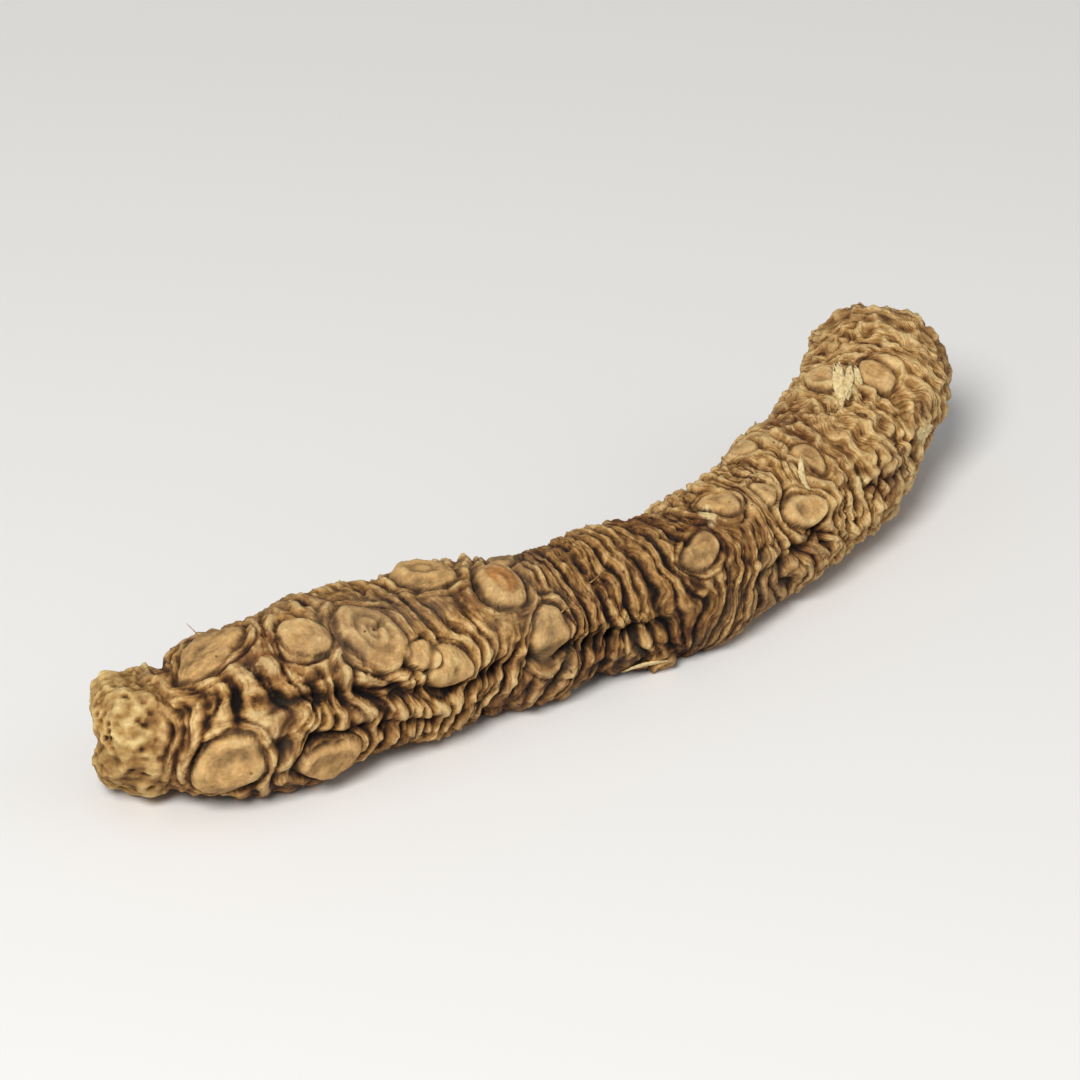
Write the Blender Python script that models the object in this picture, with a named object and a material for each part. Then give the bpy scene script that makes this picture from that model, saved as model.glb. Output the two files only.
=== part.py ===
# Orris root: one dried piece of rhizome with pleated bark and round root scars, lying at rest.
import math

import bmesh
import bpy
import numpy as np
from mathutils import Vector, noise

MM = 0.001

# Middle line of the rhizome, from the old broken end to the crown end, in millimetres.
SPINE = (
    (-40.8, 3.6, 5.0),
    (-36.1, 0.0, 5.3),
    (-28.0, -2.9, 5.9),
    (-13.4, -3.8, 5.9),
    (-4.4, -5.4, 5.2),
    (9.8, -7.0, 5.2),
    (25.6, -3.4, 5.5),
    (36.0, 0.8, 6.9),
    (44.3, 6.2, 10.2),
)
# Wall of the straightened rhizome: distance along that line, and distance out from it.
WALL = (
    (1.3, 0.0),
    (0.6, 1.8),
    (0.2, 3.2),
    (1.2, 4.4),
    (3.6, 4.9),
    (5.6, 4.6),
    (7.2, 5.4),
    (10.0, 6.2),
    (14.0, 6.6),
    (20.0, 6.7),
    (26.0, 6.7),
    (33.0, 6.2),
    (41.0, 5.6),
    (50.0, 5.7),
    (60.0, 5.9),
    (70.0, 5.9),
    (78.0, 5.9),
    (84.0, 5.8),
    (88.4, 5.4),
    (90.6, 4.6),
    (91.0, 3.9),
    (90.0, 3.0),
    (88.6, 1.7),
    (88.2, 0.0),
)
FLATTENING = 0.05  # the section is this share wider than round, and as much lower

SIDES = 46
RINGS = 130
CURVE_STEPS = 24  # steps between two given points of a curve
SPINE_SAMPLES = 400
WALL_SAMPLES = 800

# Root scars that stand out on the front: along, angle round from the front side in degrees, radius, height.
FRONT_SCARS = (
    (9.9, 98, 2.8, 0.7),
    (9.2, -4, 2.2, 0.8),
    (15.9, -18, 1.8, 0.9),
    (16.3, 70, 1.9, 0.75),
    (21.4, 57, 2.8, 1.0),
    (24.3, 31, 1.2, 0.7),
    (26.6, 17, 2.0, 0.95),
    (29.5, 108, 2.6, 1.1),
    (34.2, 70, 2.2, 1.2),
    (37.2, 22, 2.0, 0.8),
    (51.9, 50, 1.6, 0.8),
    (56.4, 78, 1.6, 0.8),
    (62.9, 35, 1.9, 0.9),
    (60.6, 66, 1.0, 0.6),
    (67.8, 66, 1.5, 0.5),
    (81.2, 74, 1.6, 0.5),
)
MORE_SCARS = 30  # on the sides that the front ones leave free
SCAR_TURNS = (112, 322)  # degrees round between which they stand
SCAR_RADII = (0.9, 1.9)
SCAR_HEIGHTS = (0.5, 1.0)
SCAR_ZONE = (9.0, 84.0)
SCAR_GAP = 0.7
SCAR_SEED = 7
SWELLING_SHARE = 0.45  # the part of a scar's height that is a soft swelling under its disc
SWELLING_REACH = 1.3  # in radii
SCAR_SHOULDER = 6  # the higher, the steeper a disc's side
SCAR_DISH = 0.3  # share by which a disc's middle is lower than its rim
SCAR_EDGE = (0.85, 1.2)  # shares of its radius between which the bark takes over
SCAR_OVAL = 0.16
OVAL_SEED = 5
CRUMPLE = (2.4, 0.6)  # size and reach of the crumpling that makes a disc's outline uneven
CRUMPLE_PLACES = (31.0, 37.0)
GROOVE_AT = 1.1
GROOVE_WIDTH = 0.13
GROOVE_DEPTH = 0.3
PLEAT_BEND = 0.85  # how fully the pleats bend round a scar
BEND_REACH = 3.0  # in radii

# Long shrinkage furrows: depth, half width, and the places they run through: along, angle in degrees.
FURROWS = (
    (1.1, 0.9, ((8, 46), (10.6, 40), (16.5, 26), (21, 13), (28.5, 0), (34, 6), (41, 4), (48, 0))),
    (0.6, 0.8, ((56, 4), (64, 12), (69, 14), (80, 4))),
    (0.5, 0.7, ((7, 12), (13, 2), (20, -8), (27, -18))),
    (0.8, 0.9, ((22, 150), (33, 138), (46, 146), (57, 132), (66, 140))),
    (0.7, 1.0, ((12, -118), (25, -96), (40, -108), (55, -92), (74, -104))),
    (0.9, 0.9, ((34, -168), (47, -150), (60, -164), (78, -146))),
)
FURROW_FADE = 3.0

# Bark relief, in millimetres.
LUMP_SIZE = 8.0
LUMP_HEIGHT = 1.1
LUMP_PLACE = 5.0  # where in the noise the lumps are taken from
PLEAT_SPACING = 2.3
PLEAT_HEIGHT = 0.6
PLEAT_ROUNDING = 0.8
PLEAT_LEVEL = 0.6  # share of a pleat's height at which the wall line lies
PLEAT_DRIFT = ((7.0, 3.0), (2.8, 0.7))  # size and reach of the waves that bend the pleats
PATCH_SIZE = 6.0
PATCH_PLACE = 20.0
PATCH_STRENGTH = (0.62, 0.5)  # mean strength of the pleats, and how much it varies from patch to patch
BEAD_REACH = 2.6
BEAD_GAIN = 0.7
END_FADE = 2.6

BARK_COLOUR = (0.27, 0.155, 0.075, 1.0)
BARK_ROUGHNESS = 0.85


def smooth_line(points, count):
    """Points spaced evenly along a smooth curve through the given ones, and the curve's length."""
    points = np.array(points, float)
    ends = (2 * points[0] - points[1], 2 * points[-1] - points[-2])
    padded = np.vstack([ends[0], points, ends[1]])
    steps = np.linspace(0, 1, CURVE_STEPS, endpoint=False)[:, None]
    stretches = []
    for a, b, c, d in zip(padded, padded[1:], padded[2:], padded[3:]):
        square = 2 * a - 5 * b + 4 * c - d
        cube = 3 * b - a - 3 * c + d
        stretches.append(b + (c - a) * steps / 2 + square * steps**2 / 2 + cube * steps**3 / 2)
    curve = np.vstack([*stretches, points[-1:]])
    run = np.concatenate([[0], np.cumsum(np.linalg.norm(np.diff(curve, axis=0), axis=1))])
    at = np.linspace(0, run[-1], count)
    even = np.column_stack([np.interp(at, run, curve[:, k]) for k in range(points.shape[1])])
    return even, run[-1]


def unit(vectors):
    return vectors / np.linalg.norm(vectors, axis=-1, keepdims=True)


def sampled(values, at, run):
    """The rows of values, which are spaced evenly over run, read at the given distances."""
    grid = np.linspace(0, run, len(values))
    return np.column_stack([np.interp(at, grid, values[:, k]) for k in range(values.shape[1])])


def smooth_step(low, high, values):
    share = np.clip((values - low) / (high - low), 0, 1)
    return share * share * (3 - 2 * share)


def noise_at(points, size, shift):
    """Smooth noise from -1 to 1 with features of about that size."""
    offset = Vector((shift, 3.7 * shift, -1.9 * shift))
    return np.array([noise.noise(Vector(p) / size + offset) for p in points])


def around(angle, other):
    """Shortest way round from one angle to another, in radians."""
    return (angle - other + math.pi) % (2 * math.pi) - math.pi


def all_scars(rng):
    """The front scars, and others drawn at random wherever they fit between those there already."""
    scars = [(along, math.radians(degrees), radius, height) for along, degrees, radius, height in FRONT_SCARS]
    body = max(out for _, out in WALL)
    while len(scars) < len(FRONT_SCARS) + MORE_SCARS:
        along = rng.uniform(*SCAR_ZONE)
        angle = math.radians(rng.uniform(*SCAR_TURNS))
        radius = rng.uniform(*SCAR_RADII)
        clear = all(
            math.hypot(along - a, body * around(angle, b)) > radius + r + SCAR_GAP for a, b, r, _ in scars
        )
        if clear:
            scars.append((along, angle, radius, rng.uniform(*SCAR_HEIGHTS)))
    return scars


def scar_relief(points, along, angle, out):
    """Height of the scars, how far each point is covered by one, and how far the pleats bend round them."""
    height = np.zeros_like(along)
    cover = np.zeros_like(along)
    bend = np.zeros_like(along)
    size, reach = CRUMPLE
    uneven_along, uneven_round = (reach * noise_at(points, size, place) for place in CRUMPLE_PLACES)
    oval_turns = np.random.default_rng(OVAL_SEED)
    for at, turn, radius, top in all_scars(np.random.default_rng(SCAR_SEED)):
        before = along - at + uneven_along
        aside = out * around(angle, turn) + uneven_round
        spin = np.arctan2(aside, before)
        oval = 1 + SCAR_OVAL * np.cos(2 * (spin - oval_turns.uniform(0, math.pi)))
        away = np.hypot(before, aside) / radius * oval
        swelling = SWELLING_SHARE * top * np.exp(-((away / SWELLING_REACH) ** 2))
        disc = np.clip(1 - away**SCAR_SHOULDER, 0, 1) * (1 - SCAR_DISH * (1 - away**2))
        groove = GROOVE_DEPTH * np.exp(-(((away - GROOVE_AT) / GROOVE_WIDTH) ** 2))
        height += swelling + (1 - SWELLING_SHARE) * top * disc - groove
        cover = np.maximum(cover, 1 - smooth_step(*SCAR_EDGE, away))
        bend -= (along - at) / np.maximum(away, 1) ** 2 * (1 - smooth_step(1, BEND_REACH, away))
    return height, cover, bend


def furrow_relief(along, angle, out):
    """Depth of the long furrows, and how near a point is to one, from 0 to 1."""
    depth = np.zeros_like(along)
    nearness = np.zeros_like(along)
    for deepest, half_width, path in FURROWS:
        stations, degrees = np.array(path, float).T
        aside = out * around(angle, np.radians(np.interp(along, stations, degrees)))
        fade = smooth_step(stations[0] - FURROW_FADE, stations[0] + FURROW_FADE, along)
        fade *= 1 - smooth_step(stations[-1] - FURROW_FADE, stations[-1] + FURROW_FADE, along)
        depth -= deepest * fade * np.exp(-((aside / half_width) ** 2))
        nearness = np.maximum(nearness, fade * np.exp(-((aside / BEAD_REACH) ** 2)))
    return depth, nearness


def pleat_relief(points, along, cover, bend, nearness):
    """Ring pleats of the bark, wavy, with rounded crests and narrow valleys."""
    drift = sum(reach * noise_at(points, size, size) for size, reach in PLEAT_DRIFT)
    flow = along + drift + PLEAT_BEND * bend
    crest = np.abs(np.cos(math.pi * flow / PLEAT_SPACING)) ** PLEAT_ROUNDING
    mean, change = PATCH_STRENGTH
    strength = mean + change * noise_at(points, PATCH_SIZE, PATCH_PLACE) + BEAD_GAIN * nearness
    return PLEAT_HEIGHT * strength * (crest - PLEAT_LEVEL) * (1 - cover)


def bark_relief(straight, along, angle, out):
    """How far the bark stands proud of the wall line, at each point of the straightened rhizome."""
    scars, cover, bend = scar_relief(straight, along, angle, out)
    furrows, nearness = furrow_relief(along, angle, out)
    lumps = LUMP_HEIGHT * noise_at(straight, LUMP_SIZE, LUMP_PLACE)
    relief = lumps + scars + furrows + pleat_relief(straight, along, cover, bend, nearness)
    return relief * smooth_step(0, END_FADE, out)


def root_points(share, angle):
    """Places on the root's skin in millimetres: share runs from the old end's middle to the crown's."""
    wall, wall_run = smooth_line(WALL, WALL_SAMPLES)
    leaning = unit(np.gradient(wall, axis=0))
    along, out = sampled(wall, share * wall_run, wall_run).T
    forward, outward = sampled(leaning, share * wall_run, wall_run).T

    spine, run = smooth_line(SPINE, SPINE_SAMPLES)
    heading = unit(np.gradient(spine, axis=0))
    front = unit(np.cross(heading, (0, 0, 1)))
    top = np.cross(front, heading)
    station = along * run / max(a for a, _ in WALL)
    ahead, sideways, upright = (sampled(v, station, run) for v in (heading, front, top))

    straight = np.column_stack([along, out * np.cos(angle), out * np.sin(angle)])
    relief = bark_relief(straight, along, angle, out)
    reach = (out + relief * forward) * (1 + FLATTENING * np.cos(2 * angle))
    push = -relief * outward
    round_it = sideways * np.cos(angle)[:, None] + upright * np.sin(angle)[:, None]
    places = sampled(spine, station, run) + push[:, None] * ahead + reach[:, None] * round_it
    places[:, 2] = np.maximum(places[:, 2], 0)  # the low spots it lies on are worn flat
    places[:, :2] -= (places[:, :2].min(axis=0) + places[:, :2].max(axis=0)) / 2
    return places


def make_root(collection):
    """A sphere drawn out along the spine, with its poles at the two ends."""
    shell = bmesh.new()
    bmesh.ops.create_uvsphere(shell, u_segments=SIDES, v_segments=RINGS, radius=1)
    start = np.array([v.co for v in shell.verts])
    share = np.arccos(np.clip(start[:, 2], -1, 1)) / math.pi
    angle = np.arctan2(start[:, 1], start[:, 0])
    for vert, place in zip(shell.verts, root_points(share, angle) * MM):
        vert.co = place
    mesh = bpy.data.meshes.new("orris_root")
    shell.to_mesh(mesh)
    shell.free()
    mesh.shade_smooth()
    mesh.materials.append(bark_material())
    root = bpy.data.objects.new("orris_root", mesh)
    collection.objects.link(root)
    return root


def bark_material():
    material = bpy.data.materials.new("dried_bark")
    material.use_nodes = True
    shader = material.node_tree.nodes["Principled BSDF"]
    shader.inputs["Base Color"].default_value = BARK_COLOUR
    shader.inputs["Roughness"].default_value = BARK_ROUGHNESS
    shader.inputs["Metallic"].default_value = 0.0
    return material


def main():
    for obj in list(bpy.data.objects):
        bpy.data.objects.remove(obj)
    collection = bpy.data.collections.new("orris_root")
    bpy.context.scene.collection.children.link(collection)
    make_root(collection)


main()
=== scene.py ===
# A dried orris root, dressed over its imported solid: pleated bark, round root scars, two broken ends.
import math

import bpy
import numpy as np
from mathutils import Matrix, Vector, noise


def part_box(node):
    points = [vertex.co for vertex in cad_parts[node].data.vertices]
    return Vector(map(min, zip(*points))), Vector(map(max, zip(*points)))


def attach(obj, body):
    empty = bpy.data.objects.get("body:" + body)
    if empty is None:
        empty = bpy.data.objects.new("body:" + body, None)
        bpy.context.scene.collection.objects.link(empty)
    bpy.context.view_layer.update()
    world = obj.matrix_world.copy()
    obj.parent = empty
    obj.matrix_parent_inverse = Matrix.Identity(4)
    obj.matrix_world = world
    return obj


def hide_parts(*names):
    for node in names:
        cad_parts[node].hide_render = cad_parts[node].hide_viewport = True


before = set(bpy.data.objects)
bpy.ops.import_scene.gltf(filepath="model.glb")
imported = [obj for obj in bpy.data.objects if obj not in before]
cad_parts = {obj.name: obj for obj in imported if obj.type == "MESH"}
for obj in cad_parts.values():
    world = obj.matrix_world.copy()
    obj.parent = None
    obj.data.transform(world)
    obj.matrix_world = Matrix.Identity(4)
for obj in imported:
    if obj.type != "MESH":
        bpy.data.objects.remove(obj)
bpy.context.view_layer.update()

mm = 0.001

# The rhizome's own form, in millimetres, as in the solid.
rhizome = {
    "spine": [
        (-40.8, 3.6, 5.0),
        (-36.1, 0.0, 5.3),
        (-28.0, -2.9, 5.9),
        (-13.4, -3.8, 5.9),
        (-4.4, -5.4, 5.2),
        (9.8, -7.0, 5.2),
        (25.6, -3.4, 5.5),
        (36.0, 0.8, 6.9),
        (44.3, 6.2, 10.2),
    ],
    "wall": [  # distance along the spine, and out from it
        (1.3, 0.0), (0.6, 1.8), (0.2, 3.2), (1.2, 4.4), (3.6, 4.9), (5.6, 4.6), (7.2, 5.4),
        (10.0, 6.2), (14.0, 6.6), (20.0, 6.7), (26.0, 6.7), (33.0, 6.2), (41.0, 5.6), (50.0, 5.7),
        (60.0, 5.9), (70.0, 5.9), (78.0, 5.9), (84.0, 5.8), (88.4, 5.4), (90.6, 4.6), (91.0, 3.9),
        (90.0, 3.0), (88.6, 1.7), (88.2, 0.0),
    ],
    "flattening": 0.05,  # share by which the section is wider than round
    "around": 200,  # sides of the bark's mesh
    "rings": 498,
    "curveSteps": 24,
    "spineSamples": 400,
    "wallSamples": 800,
}

# Root scars seen on the front: along, degrees round from the front, radius, height, kind.
scars = {
    "front": [
        (9.9, 98, 2.8, 0.7, "fan"),
        (9.2, -4, 2.2, 0.8, "plain"),
        (15.9, -18, 1.8, 0.9, "ring"),
        (16.3, 70, 1.9, 0.75, "plain"),
        (21.4, 57, 2.8, 1.0, "slit"),
        (24.3, 31, 1.2, 0.7, "plain"),
        (26.6, 17, 2.0, 0.95, "dot"),
        (29.5, 108, 2.6, 1.1, "rings"),
        (34.2, 70, 2.2, 1.2, "dome"),
        (37.2, 22, 2.0, 0.8, "fan"),
        (51.9, 50, 1.6, 0.8, "plain"),
        (56.4, 78, 1.6, 0.8, "fan"),
        (62.9, 35, 1.9, 0.9, "ring"),
        (60.6, 66, 1.0, 0.6, "dot"),
        (67.8, 66, 1.5, 0.5, "plain"),
        (81.2, 74, 1.6, 0.5, "plain"),
    ],
    "more": 30,  # on the sides that the front ones leave free
    "turns": (112, 322),  # degrees round from the front
    "radii": (0.9, 1.9),
    "heights": (0.5, 1.0),
    "zone": (9.0, 84.0),
    "gap": 0.7,
    "seed": 7,
    "kinds": ["plain", "ring", "dot", "ring", "plain", "rings"],
    "kindSeed": 3,
    "swell": (0.45, 1.3),  # share of the height that is a soft swelling, and its reach in radii
    "shoulder": 6,  # the higher, the steeper a scar's side
    "dish": 0.3,
    "edge": (0.85, 1.2),
    "grooveAt": 1.1,
    "grooveWidth": 0.13,
    "grooveDepth": 0.3,
    "wobble": 0.6,  # how far the bark's crumpling moves a scar's outline
    "wobbleSize": 2.4,
    "oval": 0.16,
    "ovalSeed": 5,
    "bend": 3.0,  # radii within which the pleats bend round a scar
    "eye": (1.25, 1.9),  # radii between which rings round a scar give way to the pleats
    "reach": 4.2,  # radii beyond which a scar changes nothing
    "rimLine": 1.04,  # radii at which the dark line round a scar runs, painted shade in its groove
    "noRim": 9.0,  # mm from a rim that stand for no rim at all
    "slitWobble": 0.4,  # the largest scar, which has the slit, is rounder than the others
    "tints": (-0.6, 0.2),
    "orangeCentre": (1.6, 0.3, 0.75),  # strength, and the radii between which it fades
}

# What stands on a scar's face, by the way its rootlet broke off: places and widths in radii, heights in mm.
faces = {
    "edge": (0.9, 1.05),  # the face ends between these
    "hoops": {  # round ridges and dips: height, place, width
        "ring": [(0.2, 0.76, 0.15), (-0.2, 0, 0.45)],
        "dot": [(0.1, 0, 0.45), (-0.4, 0, 0.13)],
        "slit": [(0.24, 0.84, 0.13)],
        "dome": [(-0.12, 0.55, 0.09), (-0.3, 0, 0.14)],
    },
    "ripples": {  # height, how many in a radius, and how much the bark's crumpling moves them
        "plain": (0.05, 1.4, 1),
        "rings": (0.15, 1.9, 0.5),
        "slit": (0.14, 3, 0),
    },
    "rises": {"dome": 0.4, "slit": -0.2},  # of the middle over the edge
    "ringsFrom": 0.25,  # the middle within the rings is level
    "fan": {"height": 0.05, "rays": 11, "foot": (0.8, 0.7), "wander": 3},
    "slit": {
        "depth": 0.75,
        "turn": 0.4,
        "start": (-0.15, 0.1),
        "end": (0.55, 0.85),
        "width": 0.05,
        "widening": 0.09,
    },
}

# Furrows: along, and degrees round from the front. Their depths and half widths are in mm.
furrows = {
    "front": [(8, 46), (10.6, 40), (16.5, 26), (21, 13), (28.5, 0), (34, 6), (41, 4), (48, 0)],
    "beads": [(56, 4), (64, 12), (69, 14), (80, 4)],
    "lower": [(7, 12), (13, 2), (20, -8), (27, -18)],
    "back": [(22, 150), (33, 138), (46, 146), (57, 132), (66, 140)],
    "under": [(12, -118), (25, -96), (40, -108), (55, -92), (74, -104)],
    "rear": [(34, -168), (47, -150), (60, -164), (78, -146)],
    "depths": {"front": 1.1, "beads": 0.6, "lower": 0.5, "back": 0.8, "under": 0.7, "rear": 0.9},
    "halfWidths": {"front": 0.9, "beads": 0.8, "lower": 0.7, "back": 0.9, "under": 1.0, "rear": 0.9},
    "fade": 3.0,
    "reach": 2.6,
}

# The bark's relief, in mm.
bark = {
    "lumpSize": 8.0,
    "lumpHeight": 1.1,
    "endFade": 2.6,  # the relief dies away this near to the middle of an end
    "pleatSpacing": 2.3,
    "pleatHeight": 0.6,
    "pleatRounding": 0.8,
    "pleatLevel": 0.6,
    "pleatBend": 0.85,  # how closely the pleats follow the scars
    "drift": [(7.0, 3.0), (2.8, 0.7)],  # size and reach of the waves in the pleats
    "strength": {  # of each relief: size of its patches, mean, change, more at the furrows, limits
        "pleats": (6.0, 0.62, 0.5, 0.7, (0, 2)),
        "folds": (3.6, 0.62, 1.1, 0.5, (0.08, 1.4)),
        "cracks": (4.5, 0.25, 0.9, 0.8, (0, 1.1)),
    },
    "fineSpacing": 1.15,  # of the folds' pattern, which is then stretched to the widths below
    "foldWidths": [(0, 1.9), (30, 1.75), (42, 1.12), (60, 1.05), (72, 1.15), (91, 1.05)],  # along, width
    "flowSpan": (-10, 100),
    "flowSteps": 440,
    "fineHeight": 0.55,
    "fineLevel": 0.6,
    "fineSkew": 0.72,  # each fold leans towards the old end
    "fineRounding": 0.55,
    "fineDrift": (2.0, 0.6),
    "fineBreaks": (1.3, 0.6),  # size and depth of the places where a fold is weaker
    "curl": 1.3,  # how much more the folds curl towards the crown end
    "curlZone": (56.0, 70.0),
    "curlLoss": 0.45,  # and how much lower they are there
    "curls": {  # thin crests that meander
        "sizes": (2.4, 1.7),
        "height": 0.24,
        "width": 0.2,
        "level": 0.4,
        "elsewhere": 0.35,
    },
    "plateSize": (1.3, 2.1),  # of the plates between the cracks: along, and round
    "crackDepth": 0.36,
    "crackWidth": 0.28,
    "crumples": [(1.7, 0.2), (0.75, 0.1)],  # size and height of the irregular wrinkles
    "crumpleStretch": (1.4, 0.85, 0.85),
    "crumpleLevel": 0.6,
    "crumpleLoss": 0.7,  # share of them that a scar's face lacks
    "scarGrain": [(1.3, 0.14), (0.6, 0.1)],  # size and height of the unevenness of a scar's face
    "peeled": [  # where the outer skin is rubbed off: along, degrees, radius
        (78.2, 88, 1.5), (80.4, 8, 1.2), (54.6, 74, 0.9), (12.0, 58, 0.6),
        (70.4, 24, 0.6), (63.0, 160, 1.3), (31.0, -172, 1.1), (46.5, 118, 0.8),
    ],
    "peeledEdge": (0.6, 1.1),
    "peeledRagged": (0.9, 0.9),  # size and reach of the tears in that edge
    "peeledLoss": 0.6,
    "peeledRise": 0.12,
    "sideWall": (0.08, 0.93),  # shares of the wall line between the two ends' faces
    "footSpan": 4,  # mesh steps on each side of a place that set how the bark lies there
}

# What the bark's colours follow: how far each point stands out of its surroundings, which paints shade into
# the creases and hollows and light onto the crests and swellings.
shading = {
    "near": ("height", 2),  # a field, and the mesh steps over which its surroundings are averaged
    "wide": ("unscarred", 8),
    "scarShare": 0.25,  # how much of a scar's height counts as unscarred bark
    "nearSpan": 0.24,  # mm by which a crest stands out where it is clearly lighter
    "wideSpan": 1.7,
    "darkest": 0.03,
    "nearGain": 0.55,  # share of the tone that the folds give
    "wideGain": 0.36,  # and that the larger forms give
    "along": [  # along, and how much lighter the bark is there; the dip from 41 to 50 mm is a painted shadow of a neighbouring root
        (0, -0.02), (20, 0), (34, 0), (41, -0.12), (50, -0.11), (57, 0.01), (72, 0.06), (91, 0.06),
    ],
    "top": 0.05,  # painted light on top and painted shade below, with some rubbed wear on top
    "creaseGain": 1.3,
    "threadLoss": 0.7,  # share of the skin's fine threads that a scar's face lacks
}

ends = {
    "capEdge": (4.3, 5.6),  # the old end's knob gives way to bark between these
    "capCover": 0.75,
    "pitSize": 0.8,
    "pitDepth": 0.45,
    "pitEdge": (0.12, 0.44),
    "pitPatchSize": 2.0,
    "pitPatchEdge": (-0.3, 0.05),
    "capLumps": [(4.6, 0.8), (2.1, 0.55), (0.9, 0.3), (0.45, 0.14)],
    "crownEdge": 0.012,  # share of the wall line over which bark gives way to the crown's hollow
    "fibreSize": 0.55,
    "fibreDepth": 0.7,
    "fibreStretch": (0.3, 1.0, 1.0),
    "fibreFade": 1.0,
    "raggedSize": 1.5,  # the crown's rim is torn back
    "raggedReach": 0.55,
    "raggedLeast": 0.3,
    "raggedWidth": 0.02,  # share of the wall line
}

# Where in the noise each pattern is read, so that no two are alike.
noiseShift = {
    "pits": 4.0,
    "lumps": 5.0,
    "pitPatches": 6.0,
    "plates": 9.0,
    "knob": 12.0,
    "fibres": 15.0,
    "ragged": 18.0,
    "pleats": 20.0,
    "scarAlong": 31.0,
    "scarRound": 37.0,
    "fineDrift": 41.0,
    "folds": 52.0,
    "fineBreaks": 57.0,
    "curls": 60.0,
    "cracks": 63.0,
    "crumples": 74.0,
    "peeled": 88.0,
    "scarGrain": 91.0,
}


def smoothLine(points, count):
    points = np.array(points, float)
    padded = np.vstack([2 * points[0] - points[1], points, 2 * points[-1] - points[-2]])
    steps = np.linspace(0, 1, rhizome["curveSteps"], endpoint=False)[:, None]
    stretches = []
    for a, b, c, d in zip(padded, padded[1:], padded[2:], padded[3:]):
        square = 2 * a - 5 * b + 4 * c - d
        cube = 3 * b - a - 3 * c + d
        stretches.append(b + (c - a) * steps / 2 + square * steps**2 / 2 + cube * steps**3 / 2)
    curve = np.vstack([*stretches, points[-1:]])
    run = np.concatenate([[0], np.cumsum(np.linalg.norm(np.diff(curve, axis=0), axis=1))])
    at = np.linspace(0, run[-1], count)
    return np.column_stack([np.interp(at, run, curve[:, k]) for k in range(points.shape[1])]), run[-1]


def unit(vectors):
    return vectors / np.linalg.norm(vectors, axis=-1, keepdims=True)


def sampled(values, at, run):
    grid = np.linspace(0, run, len(values))
    return np.column_stack([np.interp(at, grid, values[:, k]) for k in range(values.shape[1])])


def smoothStep(low, high, values):
    share = np.clip((values - low) / (high - low), 0, 1)
    return share * share * (3 - 2 * share)


def noiseAt(points, size, shift):
    offset = Vector((shift, 3.7 * shift, -1.9 * shift))
    return np.array([noise.noise(Vector(p) / size + offset) for p in points])


def cellsAt(points, shift):
    # distance to a cell's middle, and how far a point is from the border between two cells
    offset = Vector((shift, -shift, 2 * shift))
    found = np.array([noise.voronoi(Vector(p) + offset)[0][:2] for p in points])
    return found[:, 0], found[:, 1] - found[:, 0]


def turnFrom(angle, other):
    return (angle - other + math.pi) % (2 * math.pi) - math.pi


def allScars():
    found = [(at, math.radians(turn), radius, top) for at, turn, radius, top, kind in scars["front"]]
    kinds = [kind for *_, kind in scars["front"]]
    rng = np.random.default_rng(scars["seed"])
    kindDraw = np.random.default_rng(scars["kindSeed"])
    body = max(out for _, out in rhizome["wall"])
    gap = scars["gap"]
    while len(found) < len(scars["front"]) + scars["more"]:
        at = rng.uniform(*scars["zone"])
        turn = math.radians(rng.uniform(*scars["turns"]))
        radius = rng.uniform(*scars["radii"])
        clear = [math.hypot(at - a, body * turnFrom(turn, b)) > radius + r + gap for a, b, r, _ in found]
        if all(clear):
            found.append((at, turn, radius, rng.uniform(*scars["heights"])))
            kinds.append(scars["kinds"][kindDraw.integers(len(scars["kinds"]))])
    return [(*scar, kind) for scar, kind in zip(found, kinds)]


def slitDepth(away, spin):
    slit = faces["slit"]
    across, lengthways = away * np.sin(spin - slit["turn"]), away * np.cos(spin - slit["turn"])
    opening = smoothStep(*slit["start"], lengthways) * (1 - smoothStep(*slit["end"], lengthways))
    width = slit["width"] + slit["widening"] * np.clip(lengthways, 0, 1)
    return slit["depth"] * opening * np.exp(-((across / width) ** 2))


def fanRays(away, spin, uneven):
    fan = faces["fan"]
    footAlong, footRound = fan["foot"]
    fromFoot = np.arctan2(away * np.sin(spin) + footRound, away * np.cos(spin) + footAlong)
    return fan["height"] * np.cos(fan["rays"] * fromFoot + fan["wander"] * uneven)


def scarDetail(kind, away, spin, uneven):
    relief = faces["rises"].get(kind, 0) * (1 - away**2)
    for high, place, width in faces["hoops"].get(kind, []):
        relief += high * np.exp(-(((away - place) / width) ** 2))
    if kind in faces["ripples"]:
        high, count, moved = faces["ripples"][kind]
        relief += high * np.cos(2 * math.pi * (count * away + moved * uneven))
    if kind == "rings":
        relief *= smoothStep(0, faces["ringsFrom"], away)
    if kind == "fan":
        relief += fanRays(away, spin, uneven)
    relief *= 1 - smoothStep(*faces["edge"], away)
    return relief - slitDepth(away, spin) if kind == "slit" else relief


def fold(phase, skew, rounding):
    # a row of rounded folds with sharp valleys, each leaning to one side
    return np.sin(math.pi * (phase % 1) ** skew) ** rounding


def evened(flow):
    # folds are wider at the old end: the flow is stretched until each one measures a fold spacing
    stations, widths = np.array(bark["foldWidths"], float).T
    at = np.linspace(*bark["flowSpan"], bark["flowSteps"])
    run = np.cumsum(bark["fineSpacing"] / np.interp(at, stations, widths)) * (at[1] - at[0])
    return np.interp(flow, at, run)


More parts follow.
